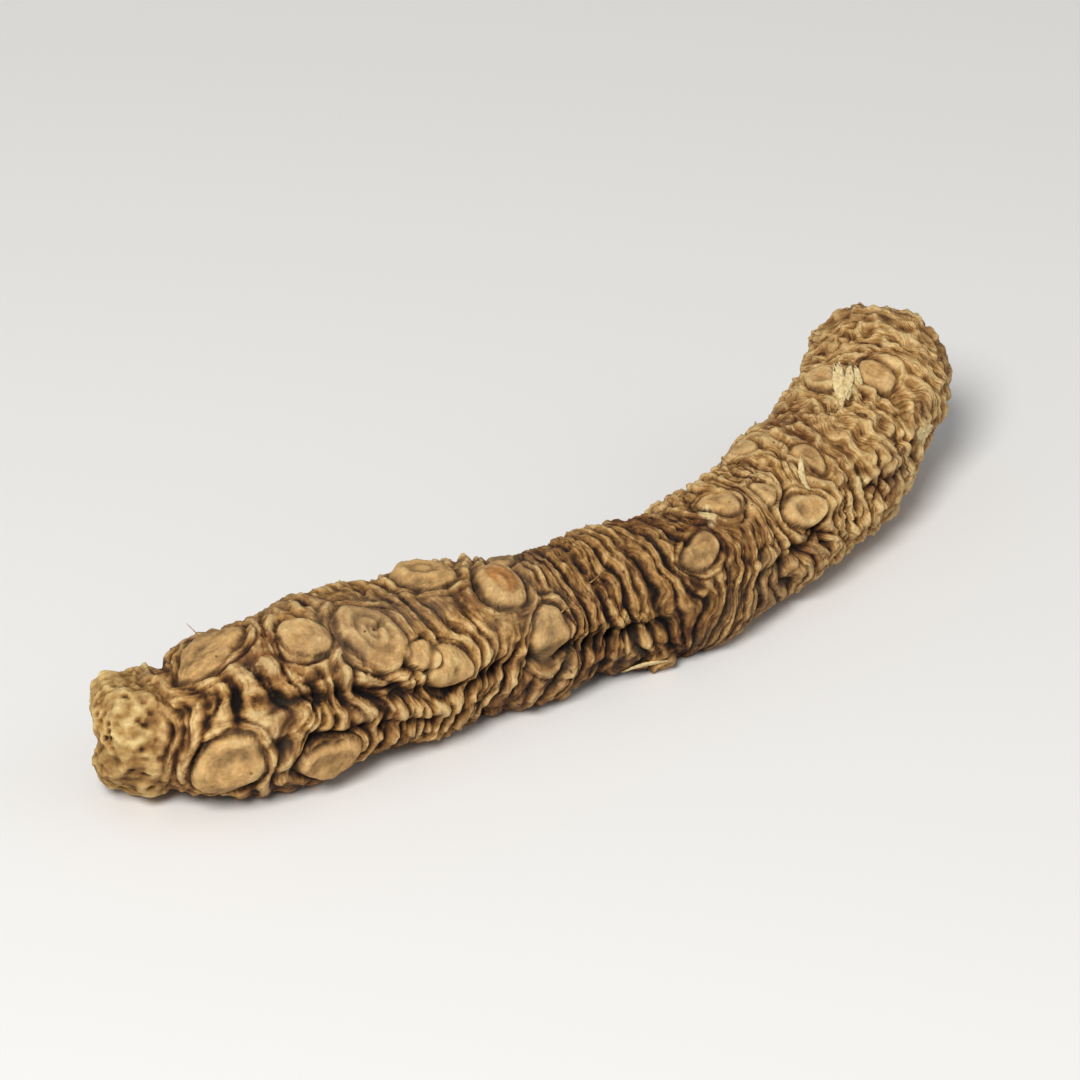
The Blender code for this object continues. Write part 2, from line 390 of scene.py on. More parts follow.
def scarFields(straight, along, angle, out):
    # relief of all scars, how far they cover the bark, and how they lead the pleats and folds round them
    shiftAlong = scars["wobble"] * noiseAt(straight, scars["wobbleSize"], noiseShift["scarAlong"])
    shiftRound = scars["wobble"] * noiseAt(straight, scars["wobbleSize"], noiseShift["scarRound"])
    field = {name: np.zeros_like(along) for name in ("high", "cover", "tint", "bend", "eye", "ring")}
    field["rim"] = np.full_like(along, scars["noRim"])
    tintDraw = np.random.default_rng(scars["kindSeed"] + 1)
    ovalTurns = np.random.default_rng(scars["ovalSeed"])
    swellShare, swellReach = scars["swell"]
    for at, turn, radius, top, kind in allScars():
        wobble = scars["slitWobble"] if kind == "slit" else 1.0
        aside = out * turnFrom(angle, turn) + wobble * shiftRound
        before = along - at + wobble * shiftAlong
        distance = np.hypot(before, aside)
        near = distance < scars["reach"] * radius
        spin = np.arctan2(aside[near], before[near])
        oval = 1 + scars["oval"] * np.cos(2 * (spin - ovalTurns.uniform(0, math.pi)))
        away = distance[near] / radius * oval

        swelling = swellShare * top * np.exp(-((away / swellReach) ** 2))
        disc = np.clip(1 - away ** scars["shoulder"], 0, 1) * (1 - scars["dish"] * (1 - away**2))
        groove = scars["grooveDepth"] * np.exp(-(((away - scars["grooveAt"]) / scars["grooveWidth"]) ** 2))
        detail = scarDetail(kind, away, spin, shiftAlong[near])
        field["high"][near] += swelling + (1 - swellShare) * top * disc - groove + detail
        field["rim"][near] = np.minimum(field["rim"][near], radius * np.abs(away - scars["rimLine"]))

        covers = 1 - smoothStep(*scars["edge"], away)
        if kind == "dome":
            strength, *fade = scars["orangeCentre"]
            stained = strength * (1 - smoothStep(*fade, away))
        else:
            stained = tintDraw.uniform(*scars["tints"])
        field["tint"][near] = np.where(covers > field["cover"][near], stained * covers, field["tint"][near])
        field["cover"][near] = np.maximum(field["cover"][near], covers)

        bendShare = (1 - smoothStep(1, scars["bend"], away)) / np.maximum(away, 1) ** 2
        field["bend"][near] -= (along[near] - at) * bendShare
        closer = 1 - smoothStep(*scars["eye"], away)
        field["ring"][near] = np.where(closer > field["eye"][near], distance[near], field["ring"][near])
        field["eye"][near] = np.maximum(field["eye"][near], closer)
    return field


def furrowFields(along, angle, out):
    # how deep the furrows are, and how near the nearest one is, from 0 to 1
    depth = np.zeros_like(along)
    nearness = np.zeros_like(along)
    for name, deepest in furrows["depths"].items():
        stations, degrees = np.array(furrows[name], float).T
        aside = out * turnFrom(angle, np.radians(np.interp(along, stations, degrees)))
        fade = smoothStep(stations[0] - furrows["fade"], stations[0] + furrows["fade"], along)
        fade *= 1 - smoothStep(stations[-1] - furrows["fade"], stations[-1] + furrows["fade"], along)
        depth -= deepest * fade * np.exp(-((aside / furrows["halfWidths"][name]) ** 2))
        nearness = np.maximum(nearness, fade * np.exp(-((aside / furrows["reach"]) ** 2)))
    return depth, nearness


def peeledShare(straight, along, angle, out):
    share = np.zeros_like(along)
    tearSize, tearReach = bark["peeledRagged"]
    ragged = tearReach * noiseAt(straight, tearSize, noiseShift["peeled"])
    for at, degrees, radius in bark["peeled"]:
        distance = np.hypot(along - at, out * turnFrom(angle, math.radians(degrees))) / radius
        share = np.maximum(share, 1 - smoothStep(*bark["peeledEdge"], distance + ragged))
    return share


def strengthOf(name, straight, nearness):
    # how strong a relief is from place to place
    size, mean, change, atFurrows, limits = bark["strength"][name]
    return np.clip(mean + change * noiseAt(straight, size, noiseShift[name]) + atFurrows * nearness, *limits)


def pleatRelief(flow):
    crest = np.abs(np.cos(math.pi * flow / bark["pleatSpacing"])) ** bark["pleatRounding"]
    return bark["pleatHeight"] * (crest - bark["pleatLevel"])


def foldRelief(fineFlow, scar):
    # thin folds along the pleats, and rings round the scars
    folds = fold(fineFlow / bark["fineSpacing"], bark["fineSkew"], bark["fineRounding"])
    rings = fold(scar["ring"] / bark["fineSpacing"], 1.0, bark["fineRounding"])
    return bark["fineHeight"] * ((1 - scar["eye"]) * folds + scar["eye"] * rings - bark["fineLevel"])


def curlRelief(straight, crumpled):
    curls = bark["curls"]
    meander = np.zeros_like(crumpled)
    for size in curls["sizes"]:
        meander += np.exp(-((noiseAt(straight, size, noiseShift["curls"] + size) / curls["width"]) ** 2))
    share = curls["elsewhere"] + (1 - curls["elsewhere"]) * crumpled
    return curls["height"] * share * (meander - curls["level"])


def crackRelief(straight, fineFlow):
    plateAlong, plateRound = bark["plateSize"]
    spots = np.column_stack([fineFlow / plateAlong, straight[:, 1] / plateRound, straight[:, 2] / plateRound])
    _, border = cellsAt(spots, noiseShift["plates"])
    return bark["crackDepth"] * (1 - smoothStep(0.0, bark["crackWidth"], border))


def wrinkleRelief(straight, cover):
    stretched = straight * np.array(bark["crumpleStretch"])
    wrinkles = np.zeros_like(cover)
    for size, high in bark["crumples"]:
        valleys = 2 * np.abs(noiseAt(stretched, size, noiseShift["crumples"]))
        wrinkles += high * (bark["crumpleLevel"] - valleys)
    wrinkles *= 1 - bark["crumpleLoss"] * cover
    grain = sum(high * noiseAt(straight, size, noiseShift["scarGrain"]) for size, high in bark["scarGrain"])
    return wrinkles + cover * grain


def barkFields(straight, along, angle, out):
    # height of the bark over the wall line, and what its colours need
    scar = scarFields(straight, along, angle, out)
    furrowDepth, nearness = furrowFields(along, angle, out)
    offScars = 1 - scar["cover"]
    crumpled = smoothStep(*bark["curlZone"], along)
    flow = along + sum(reach * noiseAt(straight, size, size) for size, reach in bark["drift"])
    flow += bark["pleatBend"] * scar["bend"]
    pleats = strengthOf("pleats", straight, nearness) * pleatRelief(flow) * offScars

    fineSize, fineReach = bark["fineDrift"]
    fineReach = (1 + bark["curl"] * crumpled) * fineReach
    fineFlow = evened(flow + fineReach * noiseAt(straight, fineSize, noiseShift["fineDrift"]))
    foldStrength = strengthOf("folds", straight, nearness) * (1 - bark["curlLoss"] * crumpled)
    breakSize, breakDepth = bark["fineBreaks"]
    foldStrength *= 1 + breakDepth * noiseAt(straight, breakSize, noiseShift["fineBreaks"])
    folds = foldStrength * foldRelief(fineFlow, scar) * offScars
    curls = curlRelief(straight, crumpled) * offScars
    cracks = strengthOf("cracks", straight, nearness) * crackRelief(straight, fineFlow) * offScars

    peeled = peeledShare(straight, along, angle, out)
    ground = bark["lumpHeight"] * noiseAt(straight, bark["lumpSize"], noiseShift["lumps"])
    ground += furrowDepth + pleats
    relief = folds + curls + wrinkleRelief(straight, scar["cover"]) - cracks
    relief = relief * (1 - bark["peeledLoss"] * peeled) + bark["peeledRise"] * peeled
    return {
        "height": ground + scar["high"] + relief,
        "unscarred": ground + shading["scarShare"] * scar["high"] + relief,
        "creased": np.clip(shading["creaseGain"] * foldStrength, 0, 1) * offScars * (1 - peeled),
        "flow": fineFlow,
        "peeled": peeled,
        "pale": crumpled,
        **{name: scar[name] for name in ("cover", "tint", "ring", "eye", "rim")},
    }


def endFields(straight, share, along, rimShare):
    # the pitted knob at the old end, and the ragged fibrous hollow at the crown end
    cap = 1 - smoothStep(*ends["capEdge"], along)
    crown = smoothStep(rimShare, rimShare + ends["crownEdge"], share)
    middle, _ = cellsAt(straight / ends["pitSize"], noiseShift["pits"])
    patches = noiseAt(straight, ends["pitPatchSize"], noiseShift["pitPatches"])
    pits = ends["pitDepth"] * (1 - smoothStep(*ends["pitEdge"], middle))
    pits *= smoothStep(*ends["pitPatchEdge"], patches)
    lumps = sum(high * noiseAt(straight, size, noiseShift["knob"]) for size, high in ends["capLumps"])
    drawnOut = straight * np.array(ends["fibreStretch"])
    torn = ends["fibreDepth"] * noiseAt(drawnOut, ends["fibreSize"], noiseShift["fibres"])
    return cap, crown, lumps - pits, torn


def barkMesh(share, angle):
    # places in mm of points given by their share of the wall line and their angle round the root
    wall, wallRun = smoothLine(rhizome["wall"], rhizome["wallSamples"])
    leaning = unit(np.gradient(wall, axis=0))
    along, out = sampled(wall, share * wallRun, wallRun).T
    forward, outward = sampled(leaning, share * wallRun, wallRun).T
    rimShare = np.argmax(wall[:, 0]) / (len(wall) - 1)

    spine, run = smoothLine(rhizome["spine"], rhizome["spineSamples"])
    heading = unit(np.gradient(spine, axis=0))
    front = unit(np.cross(heading, (0, 0, 1)))
    top = np.cross(front, heading)
    station = along * run / max(a for a, _ in rhizome["wall"])
    ahead, sideways, upright = (sampled(v, station, run) for v in (heading, front, top))

    straight = np.column_stack([along, out * np.cos(angle), out * np.sin(angle)])
    fields = barkFields(straight, along, angle, out)
    cap, crown, knob, torn = endFields(straight, share, along, rimShare)
    for name in ("height", "unscarred"):
        fields[name] *= smoothStep(0, bark["endFade"], out) * (1 - ends["capCover"] * cap) * (1 - crown)
        fields[name] += cap * knob + crown * torn * smoothStep(0, ends["fibreFade"], out)
    height = fields["height"]
    reach = (out + height * forward) * (1 + rhizome["flattening"] * np.cos(2 * angle))
    nearRim = np.exp(-(((share - rimShare) / ends["raggedWidth"]) ** 2))
    tears = ends["raggedLeast"] + np.abs(noiseAt(straight, ends["raggedSize"], noiseShift["ragged"]))
    push = -height * outward - nearRim * ends["raggedReach"] * tears
    roundIt = sideways * np.cos(angle)[:, None] + upright * np.sin(angle)[:, None]
    places = sampled(spine, station, run) + push[:, None] * ahead + reach[:, None] * roundIt
    places[:, 2] = np.maximum(places[:, 2], 0)
    return places, straight, {**fields, "cap": cap, "crown": crown}


def blurred(values, steps):
    # a soft average over a grid of rings and sides, which closes round the root
    reach = 3 * steps
    weights = np.exp(-0.5 * (np.arange(-reach, reach + 1) / steps) ** 2)
    weights /= weights.sum()
    for axis, mode in ((0, "edge"), (1, "wrap")):
        margin = [(0, 0), (0, 0)]
        margin[axis] = (reach, reach)
        padded = np.pad(values, margin, mode=mode)
        size = values.shape[axis]
        values = sum(w * np.take(padded, range(k, k + size), axis=axis) for k, w in enumerate(weights))
    return values


def proudness(field, steps, ringIndex, sideIndex):
    # how far a field stands out of its surroundings
    grid = np.zeros((rhizome["rings"] + 1, rhizome["around"]))
    grid[ringIndex, sideIndex] = field
    for pole in (0, rhizome["rings"]):
        grid[pole] = field[ringIndex == pole].mean()
    return (grid - blurred(grid, steps))[ringIndex, sideIndex]


def barkLayers(fields, near, wide, straight, angle):
    # what the material reads at each point
    # ridge and swell: painted shade in the hollows and painted light on the crests, by how far each point
    # stands out
    ridge = 0.5 + 0.5 * np.tanh(near / shading["nearSpan"])
    swell = np.clip(0.5 + wide / shading["wideSpan"], 0, 1)
    # lighter or darker along the root, with a painted shadow of a neighbouring root from 41 to 50 mm
    stations, lighter = np.array(shading["along"], float).T
    # painted light on top and painted shade below
    shade = np.interp(straight[:, 0], stations, lighter) + shading["top"] * np.sin(angle)
    bare = np.maximum(fields["cap"], fields["crown"])
    return {
        "ridge": ridge,
        "tone": shading["darkest"] + shading["nearGain"] * ridge + shading["wideGain"] * swell + shade,
        "rim": fields["rim"] + scars["noRim"] * bare,
        "creased": fields["creased"] * (1 - bare),
        "threaded": (1 - shading["threadLoss"] * fields["cover"]) * (1 - bare),
        "scar": fields["cover"],
        "tint": 0.5 + 0.5 * fields["tint"],
        "pale": fields["pale"] * (1 - bare),
        **{name: fields[name] for name in ("flow", "ring", "eye", "cap", "crown", "peeled")},
    }


def makeBark():
    bpy.ops.object.select_all(action="DESELECT")
    bpy.ops.mesh.primitive_uv_sphere_add(segments=rhizome["around"], ring_count=rhizome["rings"], radius=1)
    root = bpy.context.object
    root.name = "barkAndScars"
    mesh = root.data
    start = np.zeros(len(mesh.vertices) * 3)
    mesh.vertices.foreach_get("co", start)
    start = start.reshape(-1, 3)
    share = np.arccos(np.clip(start[:, 2], -1, 1)) / math.pi
    angle = np.arctan2(start[:, 1], start[:, 0])
    places, straight, fields = barkMesh(share, angle)

    # in plan, the bark's centre goes where the solid's is
    low, high = (np.array(corner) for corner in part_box("orris_root"))
    centre = (places.min(axis=0) + places.max(axis=0)) / 2
    places[:, :2] += ((low + high) / 2 / mm)[:2] - centre[:2]
    mesh.vertices.foreach_set("co", (places * mm).ravel())
    mesh.shade_smooth()

    ringIndex = np.rint(share * rhizome["rings"]).astype(int)
    sideIndex = np.rint(angle / (2 * math.pi) * rhizome["around"]).astype(int) % rhizome["around"]
    near, wide = (
        proudness(fields[field], steps, ringIndex, sideIndex)
        for field, steps in (shading["near"], shading["wide"])
    )
    for name, values in barkLayers(fields, near, wide, straight, angle).items():
        layer = mesh.attributes.new(name, "FLOAT", "POINT")
        layer.data.foreach_set("value", values.astype(np.float32))
    layer = mesh.attributes.new("straight", "FLOAT_VECTOR", "POINT")
    layer.data.foreach_set("vector", straight.astype(np.float32).ravel())

    # kept for what lies on the bark
    bark["places"] = places * mm
    bark["index"] = np.zeros((rhizome["rings"] + 1, rhizome["around"]), int)
    bark["index"][ringIndex, sideIndex] = np.arange(len(share))
    return root


def barkAt(along, degrees, rise=0.0):
    # a frame on the bark: x along the rhizome, z out of it, raised by a share of the folds' height
    wall, _ = smoothLine(rhizome["wall"], rhizome["wallSamples"])
    first, last = (int(len(wall) * share) for share in bark["sideWall"])
    nearest = first + np.argmin(np.abs(wall[first:last, 0] - along))
    ringNumber = int(round(nearest / (len(wall) - 1) * rhizome["rings"]))
    sideNumber = int(round(degrees / 360 * rhizome["around"]))
    span = bark["footSpan"]
    rings = [[ringNumber + step] for step in range(-span, span + 1)]
    sides = [(sideNumber + step) % rhizome["around"] for step in range(-span, span + 1)]
    spots = bark["places"][bark["index"][rings, sides]]
    ahead = Vector(spots[-1].mean(axis=0) - spots[0].mean(axis=0)).normalized()
    normal = ahead.cross(Vector(spots[:, -1].mean(axis=0) - spots[:, 0].mean(axis=0))).normalized()
    foot = Vector(spots[span, span])
    highest = max((Vector(spot) - foot).dot(normal) for spot in spots.reshape(-1, 3))
    turn = Matrix((ahead, normal.cross(ahead), normal)).transposed().to_4x4()
    return Matrix.Translation(foot + rise * highest * normal) @ turn


def linear(hexColour):
    channels = [int(hexColour[k:k + 2], 16) / 255 for k in (1, 3, 5)]
    return [*(c / 12.92 if c <= 0.04045 else ((c + 0.055) / 1.055) ** 2.4 for c in channels), 1.0]


def addNode(tree, kind, settings=None, inputs=None, output=0):
    # each input is a number, a colour or another node's output
    node = tree.nodes.new(kind)
    for name, value in (settings or {}).items():
        setattr(node, name, value)
    for name, value in (inputs or {}).items():
        if isinstance(value, bpy.types.NodeSocket):
            tree.links.new(value, node.inputs[name])
        else:
            node.inputs[name].default_value = value
    return node.outputs[output]


def newMaterial(name):
    material = bpy.data.materials.new(name)
    material.use_nodes = True
    return material, material.node_tree, material.node_tree.nodes["Principled BSDF"]


# Dried rhizome bark: cork that shrank in folds as it dried. Matte and tan, with painted shade in the creases
# and painted light on the crests.
barkLook = {
    "layers": [
        "ridge", "tone", "flow", "ring", "eye", "rim", "creased", "threaded",
        "scar", "tint", "cap", "crown", "peeled", "pale",
    ],
    "spots": {  # name: size in mm, and levels of detail
        "area": (11.0, 2),
        "patch": (6.0, 3),
        "stain": (3.2, 4),
        "mottle": (1.2, 4),
        "dust": (0.6, 5),
        "grain": (0.26, 3),
    },
    # ramp from painted shade deep in the creases to painted light on the crests
    "creaseShadeToCrestLight": [
        (0.11, "#180D05"), (0.28, "#4A2E15"), (0.43, "#7B5529"), (0.58, "#A87D45"), (0.84, "#D2A86C"),
    ],
    "earthy": "#A47C54",
    "grey": "#8F7B5E",
    # painted shade for the dark lines at the folds' feet, round the scars and in the pinholes
    "crease": "#65472B",
    "straw": "#D2B078",
    "scarTan": "#CFA56A",
    "scarOrange": "#BC7732",
    "cream": "#D9BF86",
    # the darker colour is painted shade in the hollows of a peeled patch
    "creamPitShade": "#4A2D14",
    # the knob's and the pith's ramps run over the tone and the ridge: painted shade in their pits and hollows
    "knob": [(0.18, "#3A2210"), (0.42, "#A07840"), (0.72, "#D6BA7C")],
    "pith": [(0.25, "#2E1A0C"), (0.5, "#7A4E26"), (0.75, "#B88B50")],
    "specular": 0.3,
    "threadSpacing": 0.42,  # fine threads of the skin that follow the folds, in mm
    "threadJitter": 9.0,
    "threadSharpness": 0.6,
    "lineWidth": (0.16, 0.02),  # mm from a fold's foot between which its dark line of painted shade starts and is full
    "lineWander": 0.08,
    "pinSpacing": 1.15,  # mm between the places where a pinhole may be, darkened with painted shade
    "paleRise": 0.05,  # the crown end's bark is that much lighter
    "grainMm": 0.8,
    "grainStretch": (2.4, 0.8, 0.8),
    "bumpMm": 0.15,
    "bumpStrength": 0.7,
    "roughness": 0.62,
}


def threads(tree, distance, jitter):
    # 0 in the valley between two fine threads, 1 on their crests
    turns = math.pi / barkLook["threadSpacing"]
    phase = addNode(tree, "ShaderNodeMath", {"operation": "MULTIPLY_ADD"}, {0: distance, 1: turns, 2: jitter})
    wave = addNode(tree, "ShaderNodeMath", {"operation": "SINE"}, {0: phase})
    crest = addNode(tree, "ShaderNodeMath", {"operation": "ABSOLUTE"}, {0: wave})
    return addNode(tree, "ShaderNodeMath", {"operation": "POWER"}, {0: crest, 1: barkLook["threadSharpness"]})


def creaseLine(tree, distance, wander):
    # a thin line of painted shade at the foot of each fold, 1 on the line
    moved = addNode(tree, "ShaderNodeMath", {"operation": "ADD"}, {0: distance, 1: wander})
    away = addNode(tree, "ShaderNodeMath", {"operation": "PINGPONG"}, {0: moved, 1: bark["fineSpacing"] / 2})
    start, full = barkLook["lineWidth"]
    return addNode(tree, "ShaderNodeMapRange", inputs={"Value": away, "From Min": start, "From Max": full})


def barkPatterns(tree, layer, spots, straight):
    # threads and dark lines that follow the folds and run round the scars, the scars' rims, and pinholes
    inputs = {0: spots["mottle"], 1: barkLook["threadJitter"]}
    jitter = addNode(tree, "ShaderNodeMath", {"operation": "MULTIPLY"}, inputs)
    inputs = {"Value": spots["mottle"], "From Min": 0.3, "From Max": 0.7}
    inputs |= {"To Min": -barkLook["lineWander"], "To Max": barkLook["lineWander"]}
    wander = addNode(tree, "ShaderNodeMapRange", inputs=inputs)
    pattern = {}
    for name, lines, uneven in (("thread", threads, jitter), ("foot", creaseLine, wander)):
        both = {0: layer["eye"], 2: lines(tree, layer["flow"], uneven), 3: lines(tree, layer["ring"], uneven)}
        pattern[name] = addNode(tree, "ShaderNodeMix", inputs=both)
    pattern["rim"] = addNode(tree, "ShaderNodeMath", {"operation": "ADD"}, {0: layer["rim"], 1: wander})
    inputs = {"Vector": straight, "Scale": 1 / barkLook["pinSpacing"]}
    pattern["pin"] = addNode(tree, "ShaderNodeTexVoronoi", inputs=inputs, output="Distance")
    return pattern


def barkShares(tree, layer, spots, pattern):
    # each share: its name, what it follows, from where to where, and its values there
    share = {}
    for name, value, low, high, first, last in (
        ("thread", pattern["thread"], 0, 1, -0.12, 0.03),
        ("mottle", spots["mottle"], 0.3, 0.7, -0.1, 0.1),
        ("faint", spots["patch"], 0.4, 0.58, 0.4, 0.9),
        ("rim", pattern["rim"], 0.02, 0.2, 0.6, 0),
        ("pinned", spots["stain"], 0.46, 0.58, 0, 0.85),
        ("earthy", spots["patch"], 0.46, 0.64, 0, 0.75),
        ("grey", spots["area"], 0.5, 0.64, 0, 0.22),
        ("straw", spots["stain"], 0.54, 0.68, 0, 0.5),
        ("dust", spots["dust"], 0.6, 0.7, 0, 0.5),
        ("orange", layer["tint"], 0.55, 1.0, 0, 1),
        ("knob", spots["stain"], 0.36, 0.6, 0.4, 1),
        ("cream", layer["ridge"], 0.15, 0.45, 0, 1),
        ("blotch", spots["mottle"], 0.3, 0.7, 0.72, 1.14),
        ("grain", spots["grain"], 0.3, 0.7, 0.8, 1.14),
    ):
        inputs = {"Value": value, "From Min": low, "From Max": high, "To Min": first, "To Max": last}
        share[name] = addNode(tree, "ShaderNodeMapRange", inputs=inputs)

    # the tone, with painted shade and light: 0 deep in a crease, 1 on the highest crest
    inputs = {0: share["thread"], 1: layer["threaded"], 2: share["mottle"]}
    tone = addNode(tree, "ShaderNodeMath", {"operation": "MULTIPLY_ADD"}, inputs)
    tone = addNode(tree, "ShaderNodeMath", {"operation": "ADD"}, {0: tone, 1: layer["tone"]})
    inputs = {0: layer["pale"], 1: barkLook["paleRise"], 2: tone}
    tone = addNode(tree, "ShaderNodeMath", {"operation": "MULTIPLY_ADD"}, inputs)
    share["tone"] = tone

    # these keep to the crests, or to their own layer
    for name, value, low, high, last in (
        ("earthy", layer["scar"], 1.3, 0, share["earthy"]),
        ("straw", tone, 0.4, 0.6, share["straw"]),
        ("dust", tone, 0.45, 0.7, share["dust"]),
        ("scar", layer["scar"], 0, 1, 0.7),
        ("knob", layer["cap"], 0, 1, share["knob"]),
        # pinholes darkened with painted shade
        ("pin", pattern["pin"], 0.13, 0.05, share["pinned"]),
        # painted highlight: cream on the highest crests
        ("crestHighlight", tone, 0.66, 0.86, 0.5),
        ("peeled", tone, 0.3, 0.55, layer["peeled"]),
        ("dull", tone, 0.8, 0.3, 0.3),
    ):
        inputs = {"Value": value, "From Min": low, "From Max": high, "To Min": 0, "To Max": last}
        share[name] = addNode(tree, "ShaderNodeMapRange", inputs=inputs)
    inputs = {"Value": tone, "From Min": 0.15, "From Max": 0.64, "To Min": 0.32}
    shade = addNode(tree, "ShaderNodeMapRange", inputs=inputs)
    # dark lines of painted shade at the folds' feet and in the grooves round the scars
    line = addNode(tree, "ShaderNodeMath", {"operation": "MULTIPLY"}, {0: pattern["foot"], 1: share["faint"]})
    for name, operation, one, other in (
        ("shade", "MULTIPLY", shade, share["blotch"]),
        ("foot", "MULTIPLY", line, layer["creased"]),
        ("lifted", "MULTIPLY", pattern["thread"], layer["threaded"]),
        ("rough", "ADD", share["dull"], barkLook["roughness"]),
    ):
        share[name] = addNode(tree, "ShaderNodeMath", {"operation": operation}, {0: one, 1: other})
    inputs = {0: share["foot"], 1: share["rim"]}
    share["line"] = addNode(tree, "ShaderNodeMath", {"operation": "MAXIMUM"}, inputs)
    return share


def barkColour(tree, layer, share):
    ramps = {}
    for name, value in (("creaseShadeToCrestLight", share["tone"]), ("knob", share["tone"]), ("pith", layer["ridge"])):
        ramps[name] = addNode(tree, "ShaderNodeValToRGB", inputs={"Fac": value})
        ramp = ramps[name].node.color_ramp
        while len(ramp.elements) < len(barkLook[name]):
            ramp.elements.new(0.5)
        for element, (place, colour) in zip(ramp.elements, barkLook[name]):
            element.position = place
            element.color = linear(colour)
    paint = {name: linear(barkLook[name]) for name in ("earthy", "grey", "crease", "straw", "cream")}
    for name, amount, one, other in (
        ("scar", share["orange"], "scarTan", "scarOrange"),
        # a peeled patch is cream on its crests and darker in its hollows, with painted shade
        ("peeled", share["cream"], "creamPitShade", "cream"),
    ):
        inputs = {"Factor": amount, 6: linear(barkLook[one]), 7: linear(barkLook[other])}
        paint[name] = addNode(tree, "ShaderNodeMix", {"data_type": "RGBA"}, inputs, 2)
    inputs = {"Factor": 1.0, 6: paint["scar"], 7: share["shade"]}
    paint["scar"] = addNode(tree, "ShaderNodeMix", {"data_type": "RGBA", "blend_type": "MULTIPLY"}, inputs, 2)

    colour = ramps["creaseShadeToCrestLight"]
    for amount, other, mode in (
        (share["scar"], paint["scar"], "MIX"),
        (share["earthy"], paint["earthy"], "MULTIPLY"),
        (share["grey"], paint["grey"], "MIX"),
        (share["straw"], paint["straw"], "MIX"),
        (share["dust"], paint["cream"], "MIX"),
        (share["crestHighlight"], paint["cream"], "MIX"),
        (share["line"], paint["crease"], "MULTIPLY"),
        (share["pin"], paint["crease"], "MULTIPLY"),
        (share["peeled"], paint["peeled"], "MIX"),
        (share["knob"], ramps["knob"], "MIX"),
        (layer["crown"], ramps["pith"], "MIX"),
        (1.0, share["grain"], "MULTIPLY"),
    ):
        inputs = {"Factor": amount, 6: colour, 7: other}
        colour = addNode(tree, "ShaderNodeMix", {"data_type": "RGBA", "blend_type": mode}, inputs, 2)
    return colour


def barkBump(tree, spots, share, straight):
    # the skin's grain, with the threads raised and the dark lines and pinholes sunk
    inputs = {"Vector": straight, "Scale": barkLook["grainStretch"]}
    stretched = addNode(tree, "ShaderNodeMapping", inputs=inputs)
    inputs = {"Vector": stretched, "Scale": 1 / barkLook["grainMm"], "Detail": 6, "Roughness": 0.62}
    relief = addNode(tree, "ShaderNodeTexNoise", inputs=inputs)
    for value, strength in (
        (spots["grain"], 0.6),
        (share["lifted"], 0.6),
        (share["line"], -0.8),
        (share["pin"], -0.8),
    ):
        inputs = {0: value, 1: strength, 2: relief}
        relief = addNode(tree, "ShaderNodeMath", {"operation": "MULTIPLY_ADD"}, inputs)
    inputs = {"Strength": barkLook["bumpStrength"], "Distance": barkLook["bumpMm"] * mm, "Height": relief}
    return addNode(tree, "ShaderNodeBump", inputs=inputs)


def barkMaterial():
    material, tree, shader = newMaterial("driedRhizomeBark")
    layer = {}
    for name in barkLook["layers"]:
        layer[name] = addNode(tree, "ShaderNodeAttribute", {"attribute_name": name}, output="Fac")
    straight = addNode(tree, "ShaderNodeAttribute", {"attribute_name": "straight"}, output="Vector")
    spots = {}
    for name, (sizeMm, detail) in barkLook["spots"].items():
        inputs = {"Vector": straight, "Scale": 1 / sizeMm, "Detail": detail, "Roughness": 0.6}
        spots[name] = addNode(tree, "ShaderNodeTexNoise", inputs=inputs)
    pattern = barkPatterns(tree, layer, spots, straight)
    share = barkShares(tree, layer, spots, pattern)
    tree.links.new(barkColour(tree, layer, share), shader.inputs["Base Color"])
    tree.links.new(barkBump(tree, spots, share, straight), shader.inputs["Normal"])
    tree.links.new(share["rough"], shader.inputs["Roughness"])
    shader.inputs["Specular IOR Level"].default_value = barkLook["specular"]
    return material


# Curled flakes of the pale inner skin.
flakes = {
    "places": [  # along, degrees, length, width, turn, curl, lift
        (77.6, 91, 4.6, 1.0, 28, 40, -0.12),
        (78.3, 86, 4.2, 0.7, 22, 55, -0.06),
        (79.6, 83, 2.4, 0.5, 38, 60, -0.02),
        (80.2, 9, 2.6, 1.4, -25, 40, -0.3),
        (64.6, 56, 3.4, 0.6, 52, 90, -0.02),
        (46.4, -38, 3.8, 0.6, 6, 25, -0.05),
        (58.0, -150, 2.6, 0.6, 25, 60, -0.05),
        (33.0, 165, 2.0, 0.5, -40, 60, -0.05),
        (71.5, 150, 2.2, 0.6, 80, 50, -0.05),
    ],
    "thickness": 0.18,
    "ragged": 0.11,
    "narrowing": 0.75,
    "twist": 25,
    "rise": 0.8,  # share of the folds' height at which a flake lies on them
    "sides": 20,
    "rings": 26,
}


